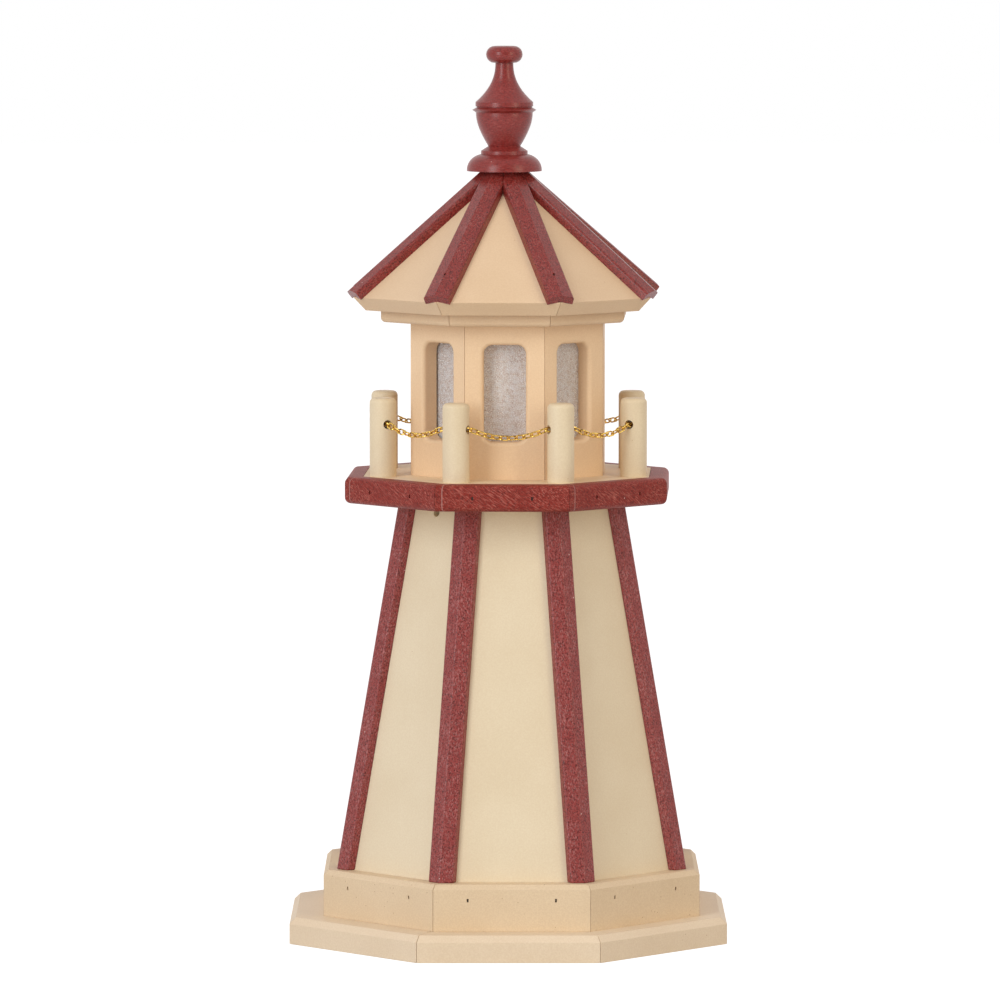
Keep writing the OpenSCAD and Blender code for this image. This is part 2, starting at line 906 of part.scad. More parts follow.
module lamp_socket() {
    color("ivory")
        upper_place()
            difference() {
                translate([0, 0, deck_z])
                    rotate_extrude()
                        polygon([[deck_hole_d / 2, 0], [socket_flange_d / 2, 0],
                                 [socket_flange_d / 2, socket_flange_h],
                                 [socket_d / 2, socket_flange_h], [socket_d / 2, socket_h],
                                 [cap_d / 2 + cap_clear, socket_h],
                                 [cap_d / 2 + cap_clear, socket_floor_h],
                                 [lead_d * 3, socket_floor_h], [lead_d * 3, socket_flange_h * 2],
                                 [deck_hole_d / 2, socket_flange_h * 2]]);
                socket_screws_at(open = true);
            }
}

module socket_contact() {
    color("goldenrod")
        translate([0, 0, deck_z + socket_floor_h])
            cylinder(h = contact_t, d = cap_d - 2);
}

// Half section of the bulb's glass, grown inwards by inset
module glass_section(inset) {
    top = bulb_h - inset;
    wide = 0.42 * bulb_h;
    neck_r = neck_d / 2 - inset;
    wide_r = bulb_d / 2 - inset;
    polygon(concat(
        [[0, -neck_in - (inset > 0 ? past : 0)], [neck_r, -neck_in - (inset > 0 ? past : 0)]],
        [for (i = [0:curve_steps])
            let (t = i / curve_steps)
            [neck_r + (wide_r - neck_r) * (1 - cos(180 * t)) / 2, wide * t]],
        [for (i = [1:curve_steps])
            let (a = 90 * i / curve_steps)
            [wide_r * cos(a), wide + (top - wide) * sin(a)]]));
}

module bulb_glass() {
    color("white", 0.4)
        translate([0, 0, glass_z])
            difference() {
                rotate_extrude() glass_section(0);
                rotate_extrude() glass_section(bulb_wall);
            }
}

module bulb_cap() {
    color("goldenrod")
        translate([0, 0, cap_z])
            rotate_extrude()
                polygon([[0, 0], [cap_d / 5, 0], [cap_d / 2, cap_tip_h], [cap_d / 2, cap_h],
                         [cap_d / 2 - cap_wall, cap_h],
                         [cap_d / 2 - cap_wall, cap_tip_h + cap_wall], [0, cap_tip_h + cap_wall]]);
}

module bulb_filament() {
    stem_z = cap_z + cap_tip_h + cap_wall;
    lead_z = stem_z + stem_h + cap_h / 3;
    color("silver")
        union() {
            translate([0, 0, stem_z])
                cylinder(h = lead_z - stem_z, d = stem_d);
            translate([-filament_r - lead_d, -lead_d, lead_z - 2 * lead_d])
                cube([2 * (filament_r + lead_d), 2 * lead_d, 2 * lead_d]);
            for (x = [-1, 1] * filament_r)
                translate([x, 0, lead_z - lead_d])
                    cylinder(h = lead_h + lead_d, d = lead_d, $fn = 24);
            translate([0, 0, lead_z + lead_h])
                rotate([90, 0, 0])
                    rotate_extrude(angle = 180, $fn = 24)
                        translate([filament_r, 0])
                            circle(d = lead_d);
        }
}

module cord_grommet() {
    depth = plinth_af / 2 - tower_ap(cord_z);
    color("dimgray")
        tower_place()
            translate([0, plinth_af / 2, cord_z])
                rotate([90, 0, 0])
                    rotate_extrude()
                        difference() {
                            union() {
                                translate([cord_bore_d / 2, 0])
                                    square([grommet_wall, depth]);
                                translate([cord_bore_d / 2, -grommet_flange])
                                    square([grommet_wall + grommet_flange, grommet_flange]);
                            }
                            translate([grommet_d / 2, -grommet_flange / 2])
                                mirror([0, 1])
                                    translate([grommet_flange / 2, 0])
                                        round_corner(grommet_flange / 2);
                        }
}

// ---- Fasteners ----

module plinth_brads() {
    color("silver")
        tower_place()
            for (k = [1:sides])
                plinth_brads_at(k);
}

module band_brads() {
    color("silver")
        upper_place()
            for (k = [1:sides])
                band_brads_at(k);
}

module roof_rib_brads() {
    color("silver")
        roof_place()
            for (k = [1:sides])
                rib_brad_at(k);
}

module base_screws() {
    color("silver")
        tower_place()
            for (k = [1:sides])
                base_screws_at(k);
}

module post_screws() {
    color("silver")
        for (k = [1:sides])
            post_screw_at(k);
}

module plate_screws() {
    color("silver")
        roof_place()
            for (k = [1:sides])
                plate_screw_at(k);
}

module socket_screws() {
    color("silver")
        upper_place()
            socket_screws_at();
}

module finial_screw() {
    color("silver")
        roof_place()
            finial_screw_at();
}

base_boards();
plinth_boards();
tower_panel(1);  // tower_panel_1
tower_panel(2);  // tower_panel_2
tower_panel(3);  // tower_panel_3
tower_panel(4);  // tower_panel_4
tower_panel(5);  // tower_panel_5
tower_panel(6);  // tower_panel_6
tower_panel(7);  // tower_panel_7
tower_panel(8);  // tower_panel_8
tower_ribs();
deck_board(true);  // deck_front
deck_board(false);  // deck_back
gallery_band();
posts();
chain_in_posts();
chain_swag(1);  // chain_swag_1
chain_swag(2);  // chain_swag_2
chain_swag(3);  // chain_swag_3
chain_swag(4);  // chain_swag_4
chain_swag(5);  // chain_swag_5
chain_swag(6);  // chain_swag_6
chain_swag(7);  // chain_swag_7
chain_swag(8);  // chain_swag_8
lantern_wall(1);  // lantern_wall_1
lantern_wall(2);  // lantern_wall_2
lantern_wall(3);  // lantern_wall_3
lantern_wall(4);  // lantern_wall_4
lantern_wall(5);  // lantern_wall_5
lantern_wall(6);  // lantern_wall_6
lantern_wall(7);  // lantern_wall_7
lantern_wall(8);  // lantern_wall_8
glazing_panes();
soffit_boards();
locating_plate();
roof_panel(1);  // roof_panel_1
roof_panel(2);  // roof_panel_2
roof_panel(3);  // roof_panel_3
roof_panel(4);  // roof_panel_4
roof_panel(5);  // roof_panel_5
roof_panel(6);  // roof_panel_6
roof_panel(7);  // roof_panel_7
roof_panel(8);  // roof_panel_8
roof_ribs();
peak_block();
finial();
finial_screw();
lamp_socket();
socket_contact();
socket_screws();
bulb_glass();
bulb_cap();
bulb_filament();
cord_grommet();
plinth_brads();
band_brads();
roof_rib_brads();
base_screws();
post_screws();
plate_screws();
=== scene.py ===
import json
import math
import bpy
from mathutils import Matrix, Vector

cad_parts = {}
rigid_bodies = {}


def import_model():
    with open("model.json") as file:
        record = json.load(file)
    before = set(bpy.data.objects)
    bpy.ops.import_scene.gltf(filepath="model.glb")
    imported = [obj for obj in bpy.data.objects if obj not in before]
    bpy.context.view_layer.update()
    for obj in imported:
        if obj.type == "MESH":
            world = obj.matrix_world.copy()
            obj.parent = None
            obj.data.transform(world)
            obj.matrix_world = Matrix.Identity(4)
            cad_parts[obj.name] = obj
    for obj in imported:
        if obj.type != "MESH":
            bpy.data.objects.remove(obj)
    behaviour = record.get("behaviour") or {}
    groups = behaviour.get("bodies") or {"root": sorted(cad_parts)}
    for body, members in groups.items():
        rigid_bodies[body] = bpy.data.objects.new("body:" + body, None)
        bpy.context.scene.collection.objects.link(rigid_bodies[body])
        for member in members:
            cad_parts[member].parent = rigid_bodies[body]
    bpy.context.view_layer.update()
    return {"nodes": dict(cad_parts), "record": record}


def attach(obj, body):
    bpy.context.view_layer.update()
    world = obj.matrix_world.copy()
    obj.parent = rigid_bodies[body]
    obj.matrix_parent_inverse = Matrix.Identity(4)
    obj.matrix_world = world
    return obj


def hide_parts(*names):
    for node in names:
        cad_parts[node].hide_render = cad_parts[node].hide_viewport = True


# Garden lighthouse in plastic lumber: looks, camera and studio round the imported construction

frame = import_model()
cadNodes = frame["nodes"]
mm = 0.001
sideCount = 8
sideTurn = math.tau / sideCount
print("frame loaded:", len(cadNodes), "nodes")

cameraSettings = {
    "side": -5.9, "distance": 5208, "height": 764.7, "pitch": 4.97,  # mm and degrees, fitted to the photo
    "lens": 262.4, "sensor": 36,
}


def addCamera():
    data = bpy.data.cameras.new("photo camera")
    data.lens = cameraSettings["lens"]
    data.sensor_width = cameraSettings["sensor"]
    data.clip_end = 100
    camera = bpy.data.objects.new("photo camera", data)
    bpy.context.scene.collection.objects.link(camera)
    camera.location = [v * mm for v in (cameraSettings["side"], -cameraSettings["distance"],
                                        cameraSettings["height"])]
    camera.rotation_euler = (math.radians(90 - cameraSettings["pitch"]), 0, 0)
    bpy.context.scene.camera = camera


addCamera()
print("camera set")


def linear(hexText):  # sRGB hex to the linear RGBA that shaders take
    channels = [int(hexText[i:i + 2], 16) / 255 for i in (1, 3, 5)]
    return [c / 12.92 if c <= 0.04045 else ((c + 0.055) / 1.055) ** 2.4 for c in channels] + [1.0]


def addNode(tree, kind, settings=None, inputs=None):  # a value sets a socket, another socket is linked
    node = tree.nodes.new(kind)
    for name, value in (settings or {}).items():
        setattr(node, name, value)
    for name, value in (inputs or {}).items():
        if isinstance(value, bpy.types.NodeSocket):
            tree.links.new(value, node.inputs[name])
        else:
            node.inputs[name].default_value = value
    return node


def perSize(sizeInMm):  # texture scale that gives features of about this size
    return 1 / (sizeInMm * mm)


def startMaterial(name):
    material = bpy.data.materials.new(name)
    material.use_nodes = True
    tree = material.node_tree
    tree.nodes.clear()
    place = addNode(tree, "ShaderNodeTexCoord").outputs["Object"]
    return material, tree, place


def finishMaterial(tree, shader):
    output = addNode(tree, "ShaderNodeOutputMaterial")
    tree.links.new(shader.outputs[0], output.inputs["Surface"])


colourMix = {"data_type": "RGBA"}  # settings that many of the nodes below share
softStep = {"interpolation_type": "SMOOTHSTEP"}

# Polyethylene lumber, extruded, sawn and planed: an even matt cream with a faint orange-peel skin.
# Sawn plinth boards also show brown specks and open pits, where the recycled blend isn't quite even.
tanLumber = {
    "tower": {"colour": "#E8D9BA", "speck": "#C9AA80", "specks": 0.02, "pits": 0.0, "rough": 0.5},
    "plinth": {"colour": "#E4CEAC", "speck": "#A98257", "specks": 0.30, "pits": 0.22, "rough": 0.58},
    "base": {"colour": "#EAD7BA", "speck": "#BE9A6C", "specks": 0.04, "pits": 0.03, "rough": 0.54},
    "deck": {"colour": "#EFD9B8", "speck": "#B98D56", "specks": 0.06, "pits": 0.0, "rough": 0.54},
    # painted light: the lantern's cream is warmer than the others for the warm light that the soffit and deck
    # throw on its walls
    "lantern": {"colour": "#EFD1AB", "speck": "#C79B66", "specks": 0.03, "pits": 0.0, "rough": 0.48},
    "roof": {"colour": "#E7CBA7", "speck": "#C59C6A", "specks": 0.04, "pits": 0.0, "rough": 0.52},
    "post": {"colour": "#E6D5B4", "speck": "#C5A878", "specks": 0.03, "pits": 0.0, "rough": 0.48},
    "driftSize": 55, "speckSize": 2.2, "clusterSize": 22, "pitSize": 4.5,  # mm, cells that hold one each
    "skinSize": 1.1, "skinDepth": 0.03, "skinStrength": 0.3,
    "lighter": 1.02, "darker": (0.975, 0.96, 0.94),  # how far the colour drifts over a board
    "hollowShade": 0.16,  # painted shade: share of the speck's colour painted into each hollow of the skin
    "speckEdge": (0.08, 0.26), "speckCore": 0.05,  # in cells: a speck's outer edge, least and most, and core
    "pitShare": 0.35, "pitShade": 0.6, "pitDepth": 8.0, "ior": 1.5, "gloss": 0.35,
}


def makeTanLumber(kind):
    look = tanLumber[kind]
    material, tree, place = startMaterial(f"tan polyethylene lumber, {kind}")
    drift = addNode(tree, "ShaderNodeTexNoise", None, {
        "Vector": place, "Scale": perSize(tanLumber["driftSize"]), "Detail": 2.0}).outputs["Fac"]
    skin = addNode(tree, "ShaderNodeTexNoise", None, {
        "Vector": place, "Scale": perSize(tanLumber["skinSize"]), "Detail": 2.0}).outputs["Fac"]
    body = linear(look["colour"])
    pale = [min(1.0, c * tanLumber["lighter"]) for c in body[:3]] + [1.0]
    deep = [c * d for c, d in zip(body, tanLumber["darker"])] + [1.0]
    colour = addNode(tree, "ShaderNodeMix", colourMix, {
        0: addNode(tree, "ShaderNodeMapRange", softStep, {
            "Value": drift, "From Min": 0.3, "From Max": 0.7}).outputs[0],
        6: deep, 7: pale}).outputs[2]
    grain = addNode(tree, "ShaderNodeMapRange", softStep, {  # painted shade: each hollow of the skin is painted a shade deeper
        "Value": skin, "From Min": 0.3, "From Max": 0.75,
        "To Min": tanLumber["hollowShade"], "To Max": 0.0}).outputs[0]
    colour = addNode(tree, "ShaderNodeMix", colourMix, {
        0: grain, 6: colour, 7: linear(look["speck"])}).outputs[2]
    # One cell in a few holds a speck, and more of them do where the blend is patchy
    cells = addNode(tree, "ShaderNodeTexVoronoi", None, {
        "Vector": place, "Scale": perSize(tanLumber["speckSize"])})
    lot = addNode(tree, "ShaderNodeSeparateColor", None, {"Color": cells.outputs["Color"]})
    cluster = addNode(tree, "ShaderNodeTexNoise", None, {
        "Vector": place, "Scale": perSize(tanLumber["clusterSize"]), "Detail": 1.0}).outputs["Fac"]
    share = addNode(tree, "ShaderNodeMapRange", softStep, {
        "Value": cluster, "From Min": 0.45, "From Max": 0.7, "To Max": look["specks"]}).outputs[0]
    chosen = addNode(tree, "ShaderNodeMath", {"operation": "LESS_THAN"}, {
        0: lot.outputs["Red"], 1: share}).outputs[0]
    least, most = tanLumber["speckEdge"]
    edge = addNode(tree, "ShaderNodeMath", {"operation": "MULTIPLY_ADD"}, {  # each speck its own size
        0: lot.outputs["Green"], 1: most - least, 2: least}).outputs[0]
    spot = addNode(tree, "ShaderNodeMapRange", softStep, {
        "Value": cells.outputs["Distance"], "From Min": edge,
        "From Max": tanLumber["speckCore"]}).outputs[0]
    speckAmount = addNode(tree, "ShaderNodeMath", {"operation": "MULTIPLY"}, {0: spot, 1: chosen}).outputs[0]
    colour = addNode(tree, "ShaderNodeMix", colourMix, {
        0: speckAmount, 6: colour, 7: linear(look["speck"])}).outputs[2]
    height = skin
    if look["pits"] > 0:
        pitCells = addNode(tree, "ShaderNodeTexVoronoi", None, {
            "Vector": place, "Scale": perSize(tanLumber["pitSize"])})
        pitLot = addNode(tree, "ShaderNodeSeparateColor", None, {"Color": pitCells.outputs["Color"]})
        isPit = addNode(tree, "ShaderNodeMath", {"operation": "LESS_THAN"}, {
            0: pitLot.outputs["Green"], 1: look["pits"] * tanLumber["pitShare"]}).outputs[0]
        bowl = addNode(tree, "ShaderNodeMapRange", softStep, {
            "Value": pitCells.outputs["Distance"], "From Min": 0.14, "From Max": 0.06}).outputs[0]
        pit = addNode(tree, "ShaderNodeMath", {"operation": "MULTIPLY"}, {0: bowl, 1: isPit}).outputs[0]
        # painted shade: each pit's bowl is painted darker than the specks
        shade = [c * tanLumber["pitShade"] for c in linear(look["speck"])[:3]] + [1.0]
        colour = addNode(tree, "ShaderNodeMix", colourMix, {0: pit, 6: colour, 7: shade}).outputs[2]
        height = addNode(tree, "ShaderNodeMath", {"operation": "MULTIPLY_ADD"}, {
            0: pit, 1: -tanLumber["pitDepth"], 2: skin}).outputs[0]
    bump = addNode(tree, "ShaderNodeBump", None, {
        "Height": height, "Strength": tanLumber["skinStrength"], "Distance": tanLumber["skinDepth"] * mm})
    finishMaterial(tree, addNode(tree, "ShaderNodeBsdfPrincipled", None, {
        "Base Color": colour, "Roughness": look["rough"], "IOR": tanLumber["ior"],
        "Specular IOR Level": tanLumber["gloss"], "Normal": bump.outputs["Normal"]}))
    return material


# Cherry-coloured polyethylene lumber, brushed as it leaves the die: a granular red with short paler
# streaks where the brush has scuffed it, slanting on the band and lengthwise on the moulded strips.
# On the finial the streaks run round, as the turning tool leaves them, and it is burnished brighter.
cherryLumber = {
    "band board": {"colour": "#87291E", "deep": "#541813", "pale": "#BE6C5E", "streaks": 0.8,
                   "tilt": -35, "length": 5.5, "width": 0.65, "rough": 0.5, "gloss": 0.25, "depth": 0.06,
                   # the band's mitres get a painted highlight
                   "joints": 0.3},
    "tower strip": {"colour": "#933C38", "deep": "#44110E", "pale": "#CD928D", "streaks": 0.45,
                    "tilt": 90, "length": 1.8, "width": 0.8, "rough": 0.4, "gloss": 0.35, "depth": 0.04,
                    "apex": 753, "slope": 79.6},
    "roof strip": {"colour": "#8A2D27", "deep": "#3C0D0A", "pale": "#BC766E", "streaks": 0.4,
                   "tilt": 90, "length": 1.8, "width": 0.8, "rough": 0.34, "gloss": 0.4, "depth": 0.03,
                   "apex": 554.6, "slope": 39.8},
    "turned finial": {"colour": "#882A25", "deep": "#68201C", "pale": "#AE5A54", "streaks": 0.45,
                      "tilt": 0, "length": 18.0, "width": 0.6, "rough": 0.31, "gloss": 0.42, "depth": 0.01},
    # pale chips, and the painted highlight along the band's mitres
    "chipAndJointHighlight": "#DDBDB4",
    "grainSize": 1.0, "patchSize": 14, "chipSize": 5.0,  # mm
    "jointHighlightWidth": 0.5, "jointHighlightCore": 0.1, "aroundRadius": 110,  # mm: the painted mitre highlight's width and core; the radius that bands unroll at
    "noiseRough": 0.55, "chipShare": 0.03, "bumpStrength": 0.5, "ior": 1.5,
}


def makeCherryLumber(kind):
    look = cherryLumber[kind]
    material, tree, place = startMaterial(f"cherry polyethylene lumber, {kind}")
    # Unrolled about the axis, with the seam on a mitre at the back: across, outwards and along
    turned = addNode(tree, "ShaderNodeMapping", None, {
        "Vector": place, "Rotation": (0, 0, sideTurn / 2)}).outputs[0]
    axes = addNode(tree, "ShaderNodeSeparateXYZ", None, {"Vector": turned})
    front = addNode(tree, "ShaderNodeMath", {"operation": "MULTIPLY"}, {0: axes.outputs["Y"], 1: -1.0})
    angle = addNode(tree, "ShaderNodeMath", {"operation": "ARCTAN2"}, {
        0: axes.outputs["X"], 1: front.outputs[0]}).outputs[0]
    flat = addNode(tree, "ShaderNodeVectorMath", {"operation": "MULTIPLY"}, {0: place, 1: (1, 1, 0)})
    radius = addNode(tree, "ShaderNodeVectorMath", {"operation": "LENGTH"}, {
        0: flat.outputs[0]}).outputs["Value"]
    nearest = addNode(tree, "ShaderNodeMath", {"operation": "WRAP"}, {  # the angle from the nearest corner
        0: angle, 1: sideTurn / 2, 2: -sideTurn / 2}).outputs[0]
    across = addNode(tree, "ShaderNodeMath", {"operation": "MULTIPLY"}, {0: nearest, 1: radius}).outputs[0]
    if "apex" in look:  # a strip down a pyramid's corner: measured from the corner's line and the apex
        slope = math.radians(look["slope"])
        alongStrip = addNode(tree, "ShaderNodeVectorMath", {"operation": "DISTANCE"}, {
            0: place, 1: (0, 0, look["apex"] * mm)}).outputs["Value"]
        fromLine = addNode(tree, "ShaderNodeMath", {"operation": "MULTIPLY_ADD"}, {
            0: axes.outputs["Z"], 1: math.cos(slope), 2: -look["apex"] * mm * math.cos(slope)}).outputs[0]
        above = addNode(tree, "ShaderNodeMath", {"operation": "MULTIPLY_ADD"}, {
            0: radius, 1: math.sin(slope), 2: fromLine}).outputs[0]
        ownPart = addNode(tree, "ShaderNodeMath", {"operation": "SUBTRACT"}, {0: angle, 1: nearest}).outputs[0]
        outwards = addNode(tree, "ShaderNodeMath", {"operation": "ADD"}, {0: above, 1: ownPart}).outputs[0]
        unrolled = addNode(tree, "ShaderNodeCombineXYZ", None, {
            "X": across, "Y": outwards, "Z": alongStrip}).outputs[0]
    else:
        around = addNode(tree, "ShaderNodeMath", {"operation": "MULTIPLY"}, {
            0: angle, 1: cherryLumber["aroundRadius"] * mm}).outputs[0]
        unrolled = addNode(tree, "ShaderNodeCombineXYZ", None, {
            "X": around, "Y": radius, "Z": axes.outputs["Z"]}).outputs[0]
    slanted = addNode(tree, "ShaderNodeMapping", {"vector_type": "TEXTURE"}, {
        "Vector": unrolled, "Rotation": (0, math.radians(-look["tilt"]), 0),
        "Scale": (look["length"] * mm, look["width"] * mm, look["width"] * mm)}).outputs[0]
    streak = addNode(tree, "ShaderNodeTexNoise", None, {
        "Vector": slanted, "Scale": 1.0, "Detail": 2.0,
        "Roughness": cherryLumber["noiseRough"]}).outputs["Fac"]
    grain = addNode(tree, "ShaderNodeTexNoise", None, {
        "Vector": place, "Scale": perSize(cherryLumber["grainSize"]), "Detail": 2.0,
        "Roughness": cherryLumber["noiseRough"]}).outputs["Fac"]
    patch = addNode(tree, "ShaderNodeTexNoise", None, {
        "Vector": place, "Scale": perSize(cherryLumber["patchSize"]), "Detail": 2.0}).outputs["Fac"]
    colour = addNode(tree, "ShaderNodeMix", colourMix, {
        0: addNode(tree, "ShaderNodeMapRange", softStep, {
            "Value": grain, "From Min": 0.28, "From Max": 0.58}).outputs[0],
        6: linear(look["deep"]), 7: linear(look["colour"])}).outputs[2]
    scuffed = addNode(tree, "ShaderNodeMath", {"operation": "MULTIPLY"}, {
        0: addNode(tree, "ShaderNodeMapRange", softStep, {
            "Value": streak, "From Min": 0.45, "From Max": 0.72, "To Max": look["streaks"]}).outputs[0],
        1: addNode(tree, "ShaderNodeMapRange", softStep, {
            "Value": patch, "From Min": 0.25, "From Max": 0.65, "To Min": 0.35}).outputs[0]}).outputs[0]
    colour = addNode(tree, "ShaderNodeMix", colourMix, {
        0: scuffed, 6: colour, 7: linear(look["pale"])}).outputs[2]
    if "joints" in look:  # painted highlight: the sawn mitre edges are painted paler, for the light their eased edges catch
        offJoint = addNode(tree, "ShaderNodeMath", {"operation": "ABSOLUTE"}, {0: across}).outputs[0]
        paintedJointHighlight = addNode(tree, "ShaderNodeMapRange", softStep, {
            "Value": offJoint, "From Min": cherryLumber["jointHighlightWidth"] * mm,
            "From Max": cherryLumber["jointHighlightCore"] * mm, "To Max": look["joints"]}).outputs[0]
        colour = addNode(tree, "ShaderNodeMix", colourMix, {
            0: paintedJointHighlight, 6: colour, 7: linear(cherryLumber["chipAndJointHighlight"])}).outputs[2]
    chips = addNode(tree, "ShaderNodeTexVoronoi", None, {
        "Vector": place, "Scale": perSize(cherryLumber["chipSize"])})
    chipLot = addNode(tree, "ShaderNodeSeparateColor", None, {"Color": chips.outputs["Color"]})
    isChip = addNode(tree, "ShaderNodeMath", {"operation": "LESS_THAN"}, {
        0: chipLot.outputs["Blue"], 1: cherryLumber["chipShare"]}).outputs[0]
    fleck = addNode(tree, "ShaderNodeMapRange", softStep, {
        "Value": chips.outputs["Distance"], "From Min": 0.13, "From Max": 0.06}).outputs[0]
    chipAmount = addNode(tree, "ShaderNodeMath", {"operation": "MULTIPLY"}, {0: fleck, 1: isChip}).outputs[0]
    colour = addNode(tree, "ShaderNodeMix", colourMix, {
        0: chipAmount, 6: colour, 7: linear(cherryLumber["chipAndJointHighlight"])}).outputs[2]
    height = addNode(tree, "ShaderNodeMath", {"operation": "ADD"}, {0: streak, 1: grain}).outputs[0]
    bump = addNode(tree, "ShaderNodeBump", None, {
        "Height": height, "Strength": cherryLumber["bumpStrength"], "Distance": look["depth"] * mm})
    finishMaterial(tree, addNode(tree, "ShaderNodeBsdfPrincipled", None, {
        "Base Color": colour, "Roughness": look["rough"], "IOR": cherryLumber["ior"],
        "Specular IOR Level": look["gloss"], "Normal": bump.outputs["Normal"]}))
    return material


# Small parts. Plating and brass vary in tone from place to place, mouldings and rubber hardly do. The chain's
# dark brown mottle is partly that and partly painted shade, for the dark gaps between its links.
smallFinishes = {
    "gold-plated steel chain": {"colour": "#FFD772", "dark": "#6A420C", "metallic": 1.0, "rough": 0.1,
                                "size": 1.2},
    "zinc-plated steel": {"colour": "#B9B7B0", "dark": "#9A9890", "metallic": 1.0, "rough": 0.38, "size": 1.2},
    "dark coated steel brad": {"colour": "#4A4038", "dark": "#2C2621", "metallic": 0.0, "rough": 0.6,
                               "size": 1.0},
    "rolled brass": {"colour": "#C9A35A", "dark": "#A58040", "metallic": 1.0, "rough": 0.32, "size": 1.5},
    "cream phenolic moulding": {"colour": "#DCD6C4", "dark": "#D4CDBA", "metallic": 0.0, "rough": 0.35,
                                "size": 6.0},
    "black moulded rubber": {"colour": "#1E1E1F", "dark": "#161617", "metallic": 0.0, "rough": 0.7,
                             "size": 3.0},
    "tungsten and lead-in wire": {"colour": "#77736C", "dark": "#6A665F", "metallic": 1.0, "rough": 0.35,
                                  "size": 0.8},
}


def makeSmallFinish(name):
    look = smallFinishes[name]
    material, tree, place = startMaterial(name)
    cloud = addNode(tree, "ShaderNodeTexNoise", None, {
        "Vector": place, "Scale": perSize(look["size"]), "Detail": 2.0}).outputs["Fac"]
    colour = addNode(tree, "ShaderNodeMix", colourMix, {
        0: addNode(tree, "ShaderNodeMapRange", softStep, {
            "Value": cloud, "From Min": 0.3, "From Max": 0.6}).outputs[0],
        6: linear(look["dark"]), 7: linear(look["colour"])}).outputs[2]
    rough = addNode(tree, "ShaderNodeMapRange", None, {
        "Value": cloud, "From Min": 0.3, "From Max": 0.7,
        "To Min": look["rough"] * 1.2, "To Max": look["rough"] * 0.85}).outputs[0]
    finishMaterial(tree, addNode(tree, "ShaderNodeBsdfPrincipled", None, {
        "Base Color": colour, "Metallic": look["metallic"], "Roughness": rough}))
    return material


# Blown soda-lime glass: clear, with a faint cloud from the pump seal
bulbGlass = {"cloudy": "#F4F4F0", "clear": "#FFFFFF", "cloudSize": 9, "rough": 0.05, "ior": 1.5}


def makeClearBulbGlass():
    material, tree, place = startMaterial("blown clear bulb glass")
    cloud = addNode(tree, "ShaderNodeTexNoise", None, {
        "Vector": place, "Scale": perSize(bulbGlass["cloudSize"]), "Detail": 2.0}).outputs["Fac"]
    colour = addNode(tree, "ShaderNodeMix", colourMix, {
        0: cloud, 6: linear(bulbGlass["cloudy"]), 7: linear(bulbGlass["clear"])}).outputs[2]
    finishMaterial(tree, addNode(tree, "ShaderNodeBsdfPrincipled", None, {
        "Base Color": colour, "Roughness": bulbGlass["rough"], "IOR": bulbGlass["ior"],
        "Transmission Weight": 1.0}))
    return material


def dress(material, *names):  # gives CAD nodes their finish through their own slots
    for name in names:
        node = cadNodes[name]
        if not node.material_slots:
            node.data.materials.append(material)
        for slot in node.material_slots:
            slot.material = material


def numbered(stem):
    return [f"{stem}_{k}" for k in range(1, sideCount + 1)]


tan = {kind: makeTanLumber(kind) for kind in ("tower", "plinth", "base", "deck", "lantern", "roof", "post")}
cherry = {kind: makeCherryLumber(kind)
          for kind in ("band board", "tower strip", "roof strip", "turned finial")}
small = {name: makeSmallFinish(name) for name in smallFinishes}
dress(tan["tower"], *numbered("tower_panel"))
dress(tan["plinth"], "plinth_boards")
dress(tan["base"], "base_boards", "peak_block", "locating_plate")
dress(tan["deck"], "deck_front", "deck_back")
dress(tan["lantern"], *numbered("lantern_wall"))
dress(tan["roof"], "soffit_boards", *numbered("roof_panel"))
dress(tan["post"], "posts")
dress(cherry["band board"], "gallery_band")
dress(cherry["tower strip"], "tower_ribs")
dress(cherry["roof strip"], "roof_ribs")
dress(cherry["turned finial"], "finial")
dress(small["gold-plated steel chain"], "chain_in_posts", *numbered("chain_swag"))
dress(small["zinc-plated steel"], "base_screws", "post_screws", "plate_screws", "socket_screws",
      "finial_screw")
dress(small["dark coated steel brad"], "plinth_brads", "band_brads", "roof_rib_brads")
dress(small["rolled brass"], "bulb_cap", "socket_contact")
dress(small["cream phenolic moulding"], "lamp_socket")
dress(small["black moulded rubber"], "cord_grommet")
dress(small["tungsten and lead-in wire"], "bulb_filament")
dress(makeClearBulbGlass(), "bulb_glass")
print("finishes made:", len(bpy.data.materials))

# Boards as they come from the saw: every long sharp edge is eased a little, so that it catches the
# light and each mitre shows as a fine groove
easing = {
    "width": {"base_boards": 0.4, "plinth_boards": 0.35, "gallery_band": 0.3, "soffit_boards": 0.35,
              "tower_ribs": 0.9, "roof_ribs": 0.9},  # mm
    "wallWidth": 0.3, "roofWidth": 0.4,
    "sharp": 28, "shortest": 6.0,  # degrees and mm: only edges like these are eased
    "weld": 0.002, "flatWithin": 0.5, "smoothWithin": 26, "segments": 2,  # mm, then degrees
}


def bodyOf(nodeName):
    return next(name for name, nodes in frame["record"]["behaviour"]["bodies"].items() if nodeName in nodes)


